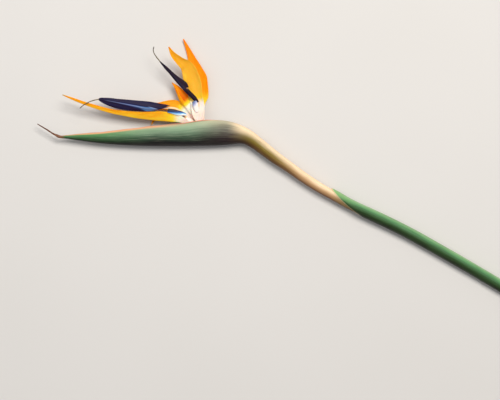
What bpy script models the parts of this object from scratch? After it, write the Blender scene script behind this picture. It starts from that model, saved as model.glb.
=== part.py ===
"""Cut bird of paradise flower, lying on its side on a flat surface.

The flower lies in the XY plane with its beak towards -X and the cut end of its stem towards +X and -Y.
All driving dimensions are in millimetres. They are measured from the neck, where the beak bends into
the stem, and from the surface at Z = 0. The finished meshes are in metres, and their origin is the
centre of the flower's outline on the surface.
"""

import math

import bmesh
import bpy
import numpy as np
from mathutils import Vector

MM = 0.001
OUTLINE_CENTRE = (47.04, -39.61)
GAP = 0.3
WELD = 1e-4
NECK_HEADING = (0.9, -0.436, -0.01)

# The beak-like bract: x, y, z of its axis, height above and below the axis, half depth,
# how far its margins stand apart (degrees of the top left open) and how far the top is pinched.
SPATHE_ROWS = (
    (7.0, -3.0, 9.0, 7.3, 7.3, 7.0, 0.0, 0.0),
    (-0.2, -0.5, 9.1, 8.9, 8.9, 8.0, 0.0, 0.0),
    (-8.6, 0.8, 9.15, 10.8, 10.8, 8.9, 0.0, 0.0),
    (-23.8, 1.5, 9.15, 12.1, 12.1, 9.4, 12.0, 0.0),
    (-34.0, 1.3, 9.15, 12.2, 12.2, 9.5, 46.0, 0.0),
    (-47.5, 0.2, 9.15, 11.2, 11.4, 9.4, 48.0, 0.0),
    (-62.0, -0.6, 9.15, 10.4, 10.6, 8.9, 44.0, 0.0),
    (-76.0, -1.3, 9.2, 9.8, 9.9, 8.0, 34.0, 0.1),
    (-104.5, -2.6, 9.3, 7.8, 7.9, 6.0, 22.0, 0.3),
    (-133.0, -3.3, 9.4, 5.2, 5.3, 4.1, 20.0, 0.3),
    (-152.0, -2.9, 9.6, 3.3, 3.3, 2.7, 20.0, 0.2),
    (-165.0, -2.7, 9.8, 1.7, 1.7, 1.5, 8.0, 0.0),
    (-171.0, -2.6, 9.9, 1.0, 1.0, 0.9, 0.0, 0.0),
    (-176.0, -0.5, 10.0, 0.75, 0.75, 0.75, 0.0, 0.0),
    (-184.0, 4.5, 10.2, 0.6, 0.6, 0.6, 0.0, 0.0),
    (-192.5, 9.6, 10.4, 0.4, 0.4, 0.4, 0.0, 0.0),
)
SPATHE_WALL = 1.3
SPATHE_BEAK_WALL = 0.9
# The hollow: where along the axis (x of the bract), half width of the slit in its top, and the heights
# of its shoulders and of the slit's top above the bract's top. It is closed over where they are negative.
HOLLOW_ROWS = (
    (-14.0, 0.9, -3.0, -2.8),
    (-18.0, 1.4, -1.6, -1.4),
    (-28.0, 1.4, -1.4, -1.2),
    (-31.0, 2.4, -1.0, -0.8),
    (-33.5, 4.6, 0.0, 3.0),
    (-37.0, 6.2, 0.0, 4.0),
    (-60.0, 6.0, 0.0, 4.0),
    (-76.0, 3.8, 0.0, 4.0),
    (-104.5, 1.0, 0.0, 4.0),
    (-133.0, 0.6, 0.0, 4.0),
    (-148.0, 0.4, 0.0, 4.0),
)
HOLLOW_STEP = 7.0
# Where along the axis the wall begins and ends its change to the thinner one of the beak.
WALL_CHANGE_X = (60.0, 110.0)

# The stalk: x, y, z of its axis, half height, half depth.
SCAPE_ROWS = (
    (7.27, -3.16, 9.0, 7.3, 7.0),
    (15.6, -8.6, 8.9, 6.4, 6.3),
    (24.5, -15.4, 8.8, 6.1, 6.0),
    (32.7, -21.7, 8.7, 5.8, 5.7),
    (46.8, -31.4, 8.5, 5.1, 5.1),
    (60.3, -41.1, 8.3, 4.9, 4.9),
    (74.7, -50.4, 8.1, 4.75, 4.75),
    (89.6, -58.9, 7.9, 4.5, 4.5),
    (104.6, -67.3, 7.6, 4.35, 4.35),
    (124.3, -76.4, 7.3, 4.35, 4.35),
    (143.5, -85.5, 7.0, 4.35, 4.35),
    (162.8, -95.3, 6.7, 4.35, 4.35),
    (181.4, -105.6, 6.4, 4.35, 4.35),
    (200.3, -116.4, 6.2, 4.35, 4.35),
    (219.1, -127.2, 6.0, 4.35, 4.35),
    (237.8, -138.3, 5.8, 4.35, 4.35),
    (261.0, -152.2, 5.55, 4.35, 4.35),
    (284.0, -165.8, 5.36, 4.35, 4.35),
)
# The green sheath round the stalk: where its lip starts along the stalk, how far its mouth slants back
# on the under side, and its wall.
SHEATH_LIP_X = 86.5
SHEATH_SLANT = 36.0
SHEATH_WALL = 0.9

# The white flower bases: x, y, z of the axis and radius.
BASE_1_ROWS = (
    (-14.85, -4.4, 9.4, 2.8),
    (-28.0, -3.0, 9.4, 3.0),
    (-38.0, 2.6, 9.4, 3.1),
    (-45.0, 9.8, 9.4, 3.1),
    (-51.5, 15.2, 9.4, 2.8),
)
BASE_2_ROWS = (
    (-14.25, 4.4, 9.4, 2.8),
    (-25.0, 5.0, 9.4, 3.0),
    (-33.0, 8.4, 9.4, 3.1),
    (-37.6, 14.0, 9.4, 3.1),
    (-40.3, 24.3, 9.4, 2.65),
)

# The sepals: x, y, z of the middle line, half width, the direction its outer face looks in (degrees
# round the line, 0 in the plane of the drawing and 90 straight up) and how far each half is curled
# round the base or, on a keeled sepal, the angle of each half from the keel's own plane.
SEPAL_THICKNESS = 0.9
FLOWER_1_KEELED_SEPAL = (
    (-48.1, 6.2, 10.4, 3.0, 172, 58),
    (-51.9, 8.6, 10.6, 4.0, 174, 50),
    (-57.5, 11.4, 11.0, 5.4, 176, 40),
    (-64.0, 12.0, 11.2, 7.2, 178, 32),
    (-71.0, 12.4, 11.4, 10.0, 180, 27),
    (-85.5, 13.7, 12.2, 9.8, 182, 25),
    (-104.5, 16.6, 13.6, 8.3, 184, 25),
    (-119.5, 19.6, 15.0, 6.8, 184, 25),
    (-130.0, 22.4, 16.2, 5.4, 184, 25),
    (-141.5, 26.2, 17.8, 3.8, 182, 25),
    (-156.0, 31.7, 20.2, 2.1, 180, 25),
    (-168.0, 36.8, 22.6, 0.5, 180, 30),
)
FLOWER_1_REAR_SEPAL = (
    (-43.2, 10.9, 5.9, 1.9, -58, 28),
    (-47.2, 15.3, 5.3, 2.5, -64, 30),
    (-53.4, 21.7, 4.9, 3.8, -70, 30),
    (-60.5, 26.6, 4.8, 4.9, -78, 26),
    (-70.0, 28.0, 4.8, 4.8, -82, 24),
    (-80.0, 27.6, 5.0, 4.0, -84, 24),
    (-92.0, 27.2, 5.8, 3.2, -86, 22),
    (-104.0, 27.8, 7.0, 2.0, -88, 20),
    (-114.0, 28.6, 8.4, 0.5, -90, 20),
)
FLOWER_1_HOOKED_SEPAL = (
    (-45.6, 7.9, 5.7, 1.5, -115, 24),
    (-50.2, 10.6, 4.7, 2.0, -110, 28),
    (-57.0, 14.5, 2.8, 2.9, -98, 26),
    (-66.0, 16.6, 2.0, 3.3, -90, 24),
    (-74.5, 16.8, 2.0, 3.2, -90, 24),
    (-80.4, 14.9, 2.6, 2.6, -90, 24),
    (-83.3, 11.9, 3.6, 1.6, -90, 20),
    (-84.2, 8.9, 4.8, 0.5, -90, 20),
)
FLOWER_2_KEELED_SEPAL = (
    (-41.9, 12.0, 8.9, 2.6, 186, 58),
    (-45.0, 17.0, 8.7, 3.8, 190, 50),
    (-49.0, 22.2, 8.8, 5.0, 196, 42),
    (-53.8, 27.2, 9.4, 6.4, 202, 36),
    (-57.8, 33.0, 10.4, 7.0, 206, 33),
    (-61.3, 40.2, 12.0, 5.0, 208, 33),
    (-64.8, 48.2, 14.2, 0.5, 208, 33),
)
FLOWER_2_FRONT_SEPAL = (
    (-33.0, 15.2, 10.1, 2.5, 8, 36),
    (-34.6, 20.6, 9.5, 2.9, -4, 34),
    (-37.4, 27.0, 8.8, 5.2, -30, 32),
    (-40.2, 34.5, 8.8, 7.0, -50, 28),
    (-42.6, 43.5, 10.2, 8.4, -60, 26),
    (-45.3, 54.2, 13.4, 8.9, -64, 26),
    (-50.0, 64.0, 18.2, 6.8, -66, 24),
    (-56.6, 69.6, 22.4, 4.8, -66, 24),
    (-62.6, 74.8, 26.4, 3.2, -66, 24),
    (-67.6, 83.0, 31.0, 0.5, -68, 24),
)
FLOWER_2_REAR_SEPAL = (
    (-36.9, 13.6, 5.4, 2.1, -82, 30),
    (-38.4, 19.5, 4.2, 2.6, -86, 28),
    (-37.3, 26.6, 2.8, 5.5, -89, 24),
    (-36.2, 34.2, 1.6, 7.2, -90, 22),
    (-37.0, 41.8, 0.9, 7.8, -90, 20),
    (-39.6, 51.3, 0.5, 7.4, -90, 20),
    (-43.2, 62.7, 0.38, 5.9, -90, 20),
    (-46.6, 72.2, 0.9, 4.1, -90, 20),
    (-50.6, 81.9, 1.9, 2.4, -90, 20),
    (-54.2, 91.0, 3.2, 0.5, -90, 20),
)

# The blue arrows: a claw and rib (x, y, z, radius) and two lobes (x, y, z, half width, facing, curl).
FLOWER_1_CLAW = (
    (-52.05, 15.75, 10.6, 1.0),
    (-60.0, 19.0, 12.0, 1.0),
    (-73.0, 21.6, 13.4, 1.2),
    (-82.0, 23.2, 14.1, 1.4),
    (-99.0, 26.4, 15.6, 1.5),
    (-116.0, 29.6, 17.4, 1.3),
    (-127.0, 31.8, 18.8, 0.9),
    (-134.2, 33.4, 19.8, 0.5),
)
FLOWER_1_UPPER_LOBE = (
    (-132.5, 33.4, 19.4, 0.6, 72, 6),
    (-118.8, 31.6, 17.2, 2.5, 72, 8),
    (-104.5, 29.9, 15.5, 3.3, 70, 10),
    (-90.3, 28.0, 13.9, 4.1, 68, 12),
    (-80.8, 26.4, 12.9, 4.1, 66, 12),
    (-73.6, 25.7, 12.4, 2.7, 66, 12),
    (-67.0, 26.0, 12.2, 0.5, 66, 12),
)
FLOWER_1_LOWER_LOBE = (
    (-132.0, 32.6, 19.2, 0.5, 118, 6),
    (-123.5, 30.2, 17.7, 1.7, 118, 8),
    (-114.0, 27.4, 16.4, 2.6, 116, 10),
    (-102.6, 25.2, 15.2, 2.7, 114, 10),
    (-90.3, 23.4, 14.1, 2.4, 112, 10),
    (-80.0, 22.6, 13.4, 1.5, 110, 10),
    (-74.4, 22.6, 13.1, 0.5, 110, 10),
)
FLOWER_2_CLAW = (
    (-40.75, 25.1, 10.5, 1.0),
    (-43.6, 31.4, 12.8, 1.4),
    (-48.4, 36.6, 14.4, 1.6),
    (-55.0, 43.2, 16.0, 1.5),
    (-61.6, 51.8, 18.0, 1.5),
    (-68.6, 60.8, 20.4, 1.1),
    (-75.6, 68.2, 22.6, 0.5),
)
FLOWER_2_UPPER_LOBE = (
    (-74.6, 67.8, 22.3, 0.5, 64, 6),
    (-67.4, 60.9, 20.0, 1.4, 64, 8),
    (-61.0, 53.9, 17.9, 2.4, 62, 10),
    (-55.4, 49.0, 16.4, 3.7, 60, 12),
    (-51.4, 46.2, 15.6, 2.7, 60, 12),
    (-48.8, 43.6, 15.1, 0.5, 60, 12),
)
FLOWER_2_LOWER_LOBE = (
    (-74.8, 67.2, 21.8, 0.5, 140, 6),
    (-68.8, 60.2, 19.4, 1.6, 140, 8),
    (-61.9, 51.6, 16.9, 2.3, 140, 10),
    (-57.0, 45.6, 15.4, 2.3, 140, 10),
    (-53.6, 41.6, 14.5, 0.5, 140, 10),
)
LOBE_THICKNESS = 1.0

# The small third petals: x, y, z of the middle line, half width, facing, curl.
FLOWER_1_SMALL_PETAL = (
    (-50.2, 15.0, 13.05, 1.2, 88, 24),
    (-56.0, 17.6, 15.2, 1.7, 92, 24),
    (-62.0, 19.5, 16.65, 2.0, 96, 24),
    (-67.8, 21.0, 17.1, 1.7, 96, 20),
)
FLOWER_2_SMALL_PETAL = (
    (-39.9, 23.2, 13.05, 1.1, 90, 24),
    (-42.2, 27.8, 15.2, 1.6, 96, 24),
    (-44.4, 32.4, 17.0, 1.3, 100, 20),
)

# The threads at the arrows' tips: x, y, z and radius.
FLOWER_1_STYLE = (
    (-134.7, 33.5, 19.9, 0.5),
    (-140.5, 32.2, 20.8, 0.5),
    (-146.5, 29.3, 21.6, 0.45),
    (-150.2, 26.2, 22.2, 0.45),
    (-153.0, 23.6, 22.6, 0.4),
)
FLOWER_2_STYLE = (
    (-76.1, 68.7, 22.8, 0.5),
    (-79.4, 72.8, 24.2, 0.5),
    (-82.0, 77.4, 25.4, 0.45),
    (-82.6, 80.6, 26.0, 0.45),
    (-81.4, 83.4, 26.4, 0.4),
)

ROUND_SIDES = 16
BASE_SIDES = 12
CLAW_SIDES = 8
STYLE_SIDES = 6
BLADE_STRIPS = 6
LOBE_STRIPS = 4

COLOURS = {
    "spathe": (0.16, 0.26, 0.16, 1.0),
    "scape": (0.78, 0.62, 0.38, 1.0),
    "sheath": (0.10, 0.27, 0.08, 1.0),
    "base": (0.95, 0.86, 0.72, 1.0),
    "sepal": (1.0, 0.42, 0.02, 1.0),
    "petal": (0.03, 0.02, 0.10, 1.0),
    "small_petal": (0.10, 0.14, 0.35, 1.0),
    "style": (0.20, 0.12, 0.03, 1.0),
}


class Spine:
    """A smooth line through rows of numbers; the first three of each row are its place."""

    def __init__(self, rows, heading=None):
        self.rows = np.array(rows, dtype=float)
        steps = np.linalg.norm(np.diff(self.rows[:, :3], axis=0), axis=1)
        self.knots = np.concatenate(([0.0], np.cumsum(steps)))
        self.length = self.knots[-1]
        self.slopes = np.gradient(self.rows, self.knots, axis=0)
        if heading is not None:
            self.slopes[0, :3] = heading

    def at(self, distance):
        """All the row's numbers at a distance along the line."""
        distance = min(max(distance, 0.0), self.length)
        i = min(int(np.searchsorted(self.knots, distance, side="right")) - 1, len(self.knots) - 2)
        span = self.knots[i + 1] - self.knots[i]
        t = (distance - self.knots[i]) / span
        start = self.rows[i] * (2 * t**3 - 3 * t**2 + 1) + self.slopes[i] * span * (t**3 - 2 * t**2 + t)
        end = self.rows[i + 1] * (3 * t**2 - 2 * t**3) + self.slopes[i + 1] * span * (t**3 - t**2)
        return start + end

    def frame(self, distance):
        """The place, the direction across the line in the plane of the drawing, and the one nearest up."""
        step = 0.1
        ahead = Vector(self.at(distance + step)[:3])
        behind = Vector(self.at(distance - step)[:3])
        forward = (ahead - behind).normalized()
        across = forward.cross(Vector((0.0, 0.0, 1.0))).normalized()
        return Vector(self.at(distance)[:3]), across, across.cross(forward)

    def distance_at_x(self, x):
        """How far along the line its place has this x."""
        samples = np.linspace(0.0, self.length, 2000)
        return float(min(samples, key=lambda distance: abs(self.at(distance)[0] - x)))


def spread(length, rows):
    """Even distances along a line."""
    return [length * i / (rows - 1) for i in range(rows)]


def material(name, colour, roughness):
    """A plain surface of one colour."""
    surface = bpy.data.materials.new(name)
    surface.use_nodes = True
    shader = surface.node_tree.nodes["Principled BSDF"]
    shader.inputs["Base Color"].default_value = colour
    shader.inputs["Roughness"].default_value = roughness
    shader.inputs["Metallic"].default_value = 0.0
    return surface


def finish(name, bm, colour, roughness=0.5):
    """Turns a mesh in drawing millimetres into a named object in metres."""
    centre = Vector((OUTLINE_CENTRE[0], OUTLINE_CENTRE[1], 0.0))
    for vert in bm.verts:
        vert.co.z = max(vert.co.z, 0.0)
        vert.co = (vert.co - centre) * MM
    bmesh.ops.recalc_face_normals(bm, faces=bm.faces)
    mesh = bpy.data.meshes.new(name)
    bm.to_mesh(mesh)
    bm.free()
    mesh.shade_smooth()
    mesh.set_sharp_from_angle(angle=math.radians(50))
    mesh.materials.append(material(name, COLOURS[colour], roughness))
    part = bpy.data.objects.new(name, mesh)
    bpy.context.collection.objects.link(part)
    return part


def wrapped_grid(rows, sides, place, close_rows=False):
    """A tube made from a grid: place(row, side) gives each point, and the seams are welded.

    The two halves of the ring are split along mirrored diagonals, so that the two faces of a thin
    blade have the same triangles.
    """
    bm = bmesh.new()
    grid = bmesh.ops.create_grid(bm, x_segments=rows - 1, y_segments=sides, size=1.0)
    front = [face for face in bm.faces if face.calc_center_median().y < 0.0]
    back = [face for face in bm.faces if face.calc_center_median().y > 0.0]
    bmesh.ops.triangulate(bm, faces=front, quad_method="FIXED")
    bmesh.ops.triangulate(bm, faces=back, quad_method="ALTERNATE")
    for vert in grid["verts"]:
        row = round((vert.co.x + 1.0) / 2.0 * (rows - 1))
        side = round((vert.co.y + 1.0) / 2.0 * sides) % sides
        vert.co = place(0 if close_rows and row == rows - 1 else row, side)
    bmesh.ops.remove_doubles(bm, verts=bm.verts, dist=WELD)
    if not close_rows:
        rims = [edge for edge in bm.edges if edge.is_boundary]
        bmesh.ops.holes_fill(bm, edges=rims, sides=0)
    return bm


def loft(spine, distances, outline):
    """A closed body whose outline(values) round the spine is a list of (across, up) offsets."""
    rings = []
    for distance in distances:
        centre, across, up = spine.frame(distance)
        rings.append([centre + across * a + up * b for a, b in outline(spine.at(distance))])
    return wrapped_grid(len(rings), len(rings[0]), lambda row, side: rings[row][side])


def circle(sides, half_height, half_depth):
    """A ring of points with a flat side facing down."""
    turns = [(k + 0.5) * math.tau / sides for k in range(sides)]
    return [(half_height * math.cos(turn), half_depth * math.sin(turn)) for turn in turns]


def thick_outline(middle, thickness):
    """Both faces of a thin section: the middle line's points moved out along its normal."""
    count = len(middle)
    front = []
    back = []
    for i, (a, b) in enumerate(middle):
        before = middle[max(i - 1, 0)]
        after = middle[min(i + 1, count - 1)]
        length = math.hypot(after[0] - before[0], after[1] - before[1])
        normal = (-(after[1] - before[1]) / length, (after[0] - before[0]) / length)
        front.append((a + normal[0] * thickness / 2, b + normal[1] * thickness / 2))
        back.append((a - normal[0] * thickness / 2, b - normal[1] * thickness / 2))
    return front + back[::-1]


def turned(points, facing):
    """Turns section points so that their -b side looks in the facing direction."""
    angle = math.radians(facing + 90.0)
    cosine = math.cos(angle)
    sine = math.sin(angle)
    return [(a * cosine - b * sine, a * sine + b * cosine) for a, b in points]


def curled_section(values, strips, thickness):
    """A strip that curls towards its inner face like part of a tube."""
    half_width, facing, curl = values[3:6]
    curl = math.radians(max(curl, 1.0))
    radius = max(half_width, 0.4) / math.sin(curl)
    middle = []
    for k in range(strips + 1):
        turn = curl * (2.0 * k / strips - 1.0)
        middle.append((radius * math.sin(turn), radius * (1.0 - math.cos(turn))))
    return turned(thick_outline(middle, thickness), facing)


def keeled_section(values, strips, thickness):
    """A strip folded along its middle, with a slightly rounded keel."""
    half_width, facing, fold = values[3:6]
    fold = math.radians(fold)
    rounding = 0.12
    middle = []
    for k in range(strips + 1):
        u = 2.0 * k / strips - 1.0
        rise = math.hypot(u, rounding) - rounding
        middle.append((half_width * u * math.sin(fold), half_width * rise * math.cos(fold)))
    return turned(thick_outline(middle, thickness), facing)


def blade(rows, section, strips=BLADE_STRIPS, thickness=SEPAL_THICKNESS, stations=18):
    """A sepal or petal: a thin section carried along its middle line."""
    spine = Spine(rows)
    return loft(spine, spread(spine.length, stations), lambda values: section(values, strips, thickness))


def spathe_outline(values, inset=0.0):
    """The bract's section: a round keel, and a top that is closed, open or pinched."""
    above, below, depth, opening, pinch = values[3:8]
    opening = max(opening, 0.0)
    first = 0.5 * 360.0 / ROUND_SIDES
    top_cosine = math.cos(math.radians(opening + (90.0 - opening) * first / 90.0))
    points = []
    for k in range(ROUND_SIDES):
        turn = (k + 0.5) * 360.0 / ROUND_SIDES
        side = 1.0 if turn < 180.0 else -1.0
        turn = min(turn, 360.0 - turn)
        if turn < 90.0:
            turn = math.radians(opening + (90.0 - opening) * turn / 90.0)
            rise = above * math.cos(turn) / top_cosine
            reach = (depth - inset) * math.sin(turn) * (1.0 - max(pinch, 0.0) * math.cos(turn))
        else:
            turn = math.radians(turn)
            rise = (below - inset) * math.cos(turn)
            reach = (depth - inset) * math.sin(turn)
        points.append((rise, side * reach))
    return points


def add_boolean(part, other, operation, solver="EXACT"):
    """Joins or cuts a part with another object, which stays hidden as a guide."""
    change = part.modifiers.new(other.name, "BOOLEAN")
    change.operation = operation
    change.solver = solver
    change.object = other
    other.hide_render = True
    other.display_type = "WIRE"


def make_hollow(spine):
    """The space inside the bract, open along the top from behind the flowers to the beak."""
    rows = np.array(HOLLOW_ROWS)
    starts = rows[:, 0]
    stations = []
    for start, end in zip(starts, starts[1:]):
        parts = max(1, round((start - end) / HOLLOW_STEP))
        stations += [start + (end - start) * k / parts for k in range(parts)]
    stations.append(starts[-1])
    rings = []
    for x in stations:
        distance = spine.distance_at_x(x)
        centre, across, up = spine.frame(distance)
        values = spine.at(distance)
        slit, shoulder, top = (float(np.interp(-x, -starts, column)) for column in rows.T[1:])
        wall = float(np.interp(-x, WALL_CHANGE_X, (SPATHE_WALL, SPATHE_BEAK_WALL)))
        shoulder += values[3]
        top += values[3]
        points = [(min(a, shoulder), b) for a, b in spathe_outline(values, wall)]
        points[0] = (shoulder, slit)
        points[-1] = (shoulder, -slit)
        points = [(top, slit * 0.9)] + points + [(top, slit * -0.9)]
        rings.append([centre + across * a + up * b for a, b in points])
    bm = wrapped_grid(len(rings), len(rings[0]), lambda row, side: rings[row][side])
    return finish("hollow_cutter", bm, "spathe")


def make_spathe():
    """The folded green bract with its hollow, its pale margins and its dry hooked tip."""
    spine = Spine(SPATHE_ROWS, [-value for value in NECK_HEADING])
    bm = loft(spine, spread(spine.length, 38), spathe_outline)
    spathe = finish("spathe", bm, "spathe")
    add_boolean(spathe, make_hollow(spine), "DIFFERENCE")


def make_scape():
    """The stalk, from the bract's neck to its cut end."""
    spine = Spine(SCAPE_ROWS, NECK_HEADING)
    bm = loft(spine, spread(spine.length, 34), lambda values: circle(ROUND_SIDES, values[3], values[4]))
    finish("scape", bm, "scape")


def make_sheath():
    """The green leaf sheath wrapped round the stalk, with a slanting mouth."""
    spine = Spine(SCAPE_ROWS, NECK_HEADING)
    lip = spine.distance_at_x(SHEATH_LIP_X)
    stations = 18

    def place(row, side):
        outer = row < stations
        step = row if outer else 2 * stations - 1 - row
        along = step / (stations - 1)
        turn = (side + 0.5) * math.tau / ROUND_SIDES
        slant = SHEATH_SLANT * (1.0 + math.cos(turn)) / 2.0 * (1.0 - along) ** 2
        distance = lip + (spine.length - lip) * along + slant
        distance = min(distance, spine.length)
        centre, across, up = spine.frame(distance)
        radius = spine.at(distance)[3] + GAP + (SHEATH_WALL if outer else 0.0)
        return centre + across * radius * math.cos(turn) + up * radius * math.sin(turn)

    bm = wrapped_grid(2 * stations + 1, ROUND_SIDES, place, close_rows=True)
    finish("sheath", bm, "sheath")


def make_base(name, rows):
    """The white tube that the sepals stand on."""
    spine = Spine(rows)
    bm = loft(spine, spread(spine.length, 10), lambda values: circle(BASE_SIDES, values[3], values[3]))
    finish(name, bm, "base")


def make_arrow(name, claw, upper, lower):
    """The two joined blue petals: a claw and rib with a barbed lobe on each side."""
    spine = Spine(claw)
    bm = loft(spine, spread(spine.length, 14), lambda values: circle(CLAW_SIDES, values[3], values[3]))
    arrow = finish(name, bm, "petal", 0.35)
    for side, rows in (("upper", upper), ("lower", lower)):
        lobe = blade(rows, curled_section, LOBE_STRIPS, LOBE_THICKNESS, 12)
        add_boolean(arrow, finish(name + "_" + side + "_guide", lobe, "petal"), "UNION", "MANIFOLD")


def make_style(name, rows):
    """The thread that carries the pollen-catching tip."""
    spine = Spine(rows)
    bm = loft(spine, spread(spine.length, 12), lambda values: circle(STYLE_SIDES, values[3], values[3]))
    finish(name, bm, "style")


def main():
    for old in list(bpy.data.objects):
        bpy.data.objects.remove(old)
    make_scape()
    make_sheath()
    make_spathe()
    make_base("flower_1_base", BASE_1_ROWS)
    make_base("flower_2_base", BASE_2_ROWS)
    for name, rows, section in (
        ("flower_1_keeled_sepal", FLOWER_1_KEELED_SEPAL, keeled_section),
        ("flower_1_rear_sepal", FLOWER_1_REAR_SEPAL, curled_section),
        ("flower_1_hooked_sepal", FLOWER_1_HOOKED_SEPAL, curled_section),
        ("flower_2_keeled_sepal", FLOWER_2_KEELED_SEPAL, keeled_section),
        ("flower_2_front_sepal", FLOWER_2_FRONT_SEPAL, curled_section),
        ("flower_2_rear_sepal", FLOWER_2_REAR_SEPAL, curled_section),
    ):
        finish(name, blade(rows, section), "sepal")
    for name, rows in (
        ("flower_1_small_petal", FLOWER_1_SMALL_PETAL),
        ("flower_2_small_petal", FLOWER_2_SMALL_PETAL),
    ):
        finish(name, blade(rows, curled_section, LOBE_STRIPS, stations=10), "small_petal")
    make_arrow("flower_1_arrow", FLOWER_1_CLAW, FLOWER_1_UPPER_LOBE, FLOWER_1_LOWER_LOBE)
    make_arrow("flower_2_arrow", FLOWER_2_CLAW, FLOWER_2_UPPER_LOBE, FLOWER_2_LOWER_LOBE)
    make_style("flower_1_style", FLOWER_1_STYLE)
    make_style("flower_2_style", FLOWER_2_STYLE)


main()
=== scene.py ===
"""The looks of a cut bird of paradise flower that lies on its side on a pale surface.

Each section is one piece or one group of like pieces, from the stalk up to the flowers' threads.
"""

from math import copysign, cos, exp, hypot, pi, radians, sin, sqrt

import bmesh
import bpy
import numpy as np
from mathutils import Matrix, Vector, noise


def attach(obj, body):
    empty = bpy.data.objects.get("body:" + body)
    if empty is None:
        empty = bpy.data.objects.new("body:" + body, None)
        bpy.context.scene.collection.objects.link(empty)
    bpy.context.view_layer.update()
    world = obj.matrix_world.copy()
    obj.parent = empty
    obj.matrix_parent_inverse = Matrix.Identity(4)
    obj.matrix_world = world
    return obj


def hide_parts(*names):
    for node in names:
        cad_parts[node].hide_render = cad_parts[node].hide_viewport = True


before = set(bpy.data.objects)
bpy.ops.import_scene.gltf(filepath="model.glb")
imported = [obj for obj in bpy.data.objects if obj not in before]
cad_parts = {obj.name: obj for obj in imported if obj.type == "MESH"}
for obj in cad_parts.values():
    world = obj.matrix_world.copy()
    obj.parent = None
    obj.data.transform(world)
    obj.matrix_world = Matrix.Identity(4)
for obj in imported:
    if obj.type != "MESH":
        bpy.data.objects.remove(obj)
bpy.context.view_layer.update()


# The stalk is a fleshy, faintly ribbed stem, cream on top and olive at the bend, with painted shade on its
# bend and underside.
# Its top is held in the bract's neck, and its lower half runs inside the leaf sheath to the cut end.

MM = 0.001
# Every table of rows is in millimetres and degrees, from the bend at the neck and the surface that the
# flower lies on.
NECK = Vector((-0.04704, 0.03961, 0.0))
# x, y, z of the stalk's middle, and its half height and half depth. The first three rows are out of
# sight in the bract's neck.
STALK_ROWS = (
    (-12.5, 1.0, 9.15, 5.0, 5.0),
    (-6.0, 0.4, 9.1, 7.4, 6.9),
    (1.0, -0.8, 9.05, 8.05, 7.35),
    (7.27, -3.16, 9.0, 7.25, 6.95),
    (15.6, -8.6, 8.9, 6.4, 6.3),
    (24.5, -15.4, 8.8, 6.1, 6.0),
    (32.7, -21.7, 8.7, 5.8, 5.7),
    (46.8, -31.4, 8.5, 5.1, 5.1),
    (60.3, -41.1, 8.3, 4.9, 4.9),
    (74.7, -50.4, 8.1, 4.75, 4.75),
    (89.6, -58.9, 7.9, 4.5, 4.5),
    (104.6, -67.3, 7.6, 4.35, 4.35),
    (124.3, -76.4, 7.3, 4.35, 4.35),
    (143.5, -85.5, 7.0, 4.35, 4.35),
    (162.8, -95.3, 6.7, 4.35, 4.35),
    (181.4, -105.6, 6.4, 4.35, 4.35),
    (200.3, -116.4, 6.2, 4.35, 4.35),
    (219.1, -127.2, 6.0, 4.35, 4.35),
    (237.8, -138.3, 5.8, 4.35, 4.35),
    (261.0, -152.2, 5.55, 4.35, 4.35),
    (284.0, -165.8, 5.36, 4.35, 4.35),
)
STALK_SIDES = 64
STALK_STATIONS = 230
STALK_RIBS = 9
STALK_RIB_HEIGHT = 0.04
STALK_RIBS_START = 22.0
STALK_RIBS_FADE = 15.0
BROKEN_EDGE = 0.25
WELD = 1e-4
HEADING_STEP = 0.1
SEARCH_PLACES = 2000
ROUND_STEPS = 6


class Line:
    """A smooth line through rows of numbers; the first three of each row are its place."""

    def __init__(self, rows, heading=None):
        self.rows = np.array(rows, dtype=float)
        steps = np.linalg.norm(np.diff(self.rows[:, :3], axis=0), axis=1)
        self.knots = np.concatenate(([0.0], np.cumsum(steps)))
        self.length = float(self.knots[-1])
        self.slopes = np.gradient(self.rows, self.knots, axis=0)
        if heading is not None:
            self.slopes[0, :3] = heading
        self.known = {}

    def at(self, distance):
        """All the row's numbers at a distance along the line."""
        distance = min(max(distance, 0.0), self.length)
        i = min(int(np.searchsorted(self.knots, distance, side="right")) - 1, len(self.knots) - 2)
        span = self.knots[i + 1] - self.knots[i]
        t = (distance - self.knots[i]) / span
        start = self.rows[i] * (2 * t**3 - 3 * t**2 + 1) + self.slopes[i] * span * (t**3 - 2 * t**2 + t)
        end = self.rows[i + 1] * (3 * t**2 - 2 * t**3) + self.slopes[i + 1] * span * (t**3 - t**2)
        return start + end

    def station(self, distance):
        """The place at a distance, the directions across and up, and the row's other numbers."""
        key = round(distance, 6)
        if key not in self.known:
            values = self.at(distance).tolist()
            ahead = Vector(self.at(distance + HEADING_STEP)[:3])
            behind = Vector(self.at(distance - HEADING_STEP)[:3])
            forward = (ahead - behind).normalized()
            across = forward.cross(Vector((0.0, 0.0, 1.0))).normalized()
            self.known[key] = (Vector(values[:3]), across, across.cross(forward), values[3:])
        return self.known[key]

    def distance_at_x(self, x):
        """How far along the line its place has this x."""
        places = np.linspace(0.0, self.length, SEARCH_PLACES)
        return float(min(places, key=lambda distance: abs(self.at(distance)[0] - x)))


def even(start, end, count):
    """Evenly spaced numbers from start to end."""
    return np.linspace(start, end, count).tolist()


def held(share):
    """A number held between 0 and 1."""
    return min(max(share, 0.0), 1.0)


def wobble(*place):
    """Smooth noise from -1 to 1 at up to three numbers."""
    return noise.noise(Vector(place + (0.0,) * (3 - len(place))))


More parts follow.
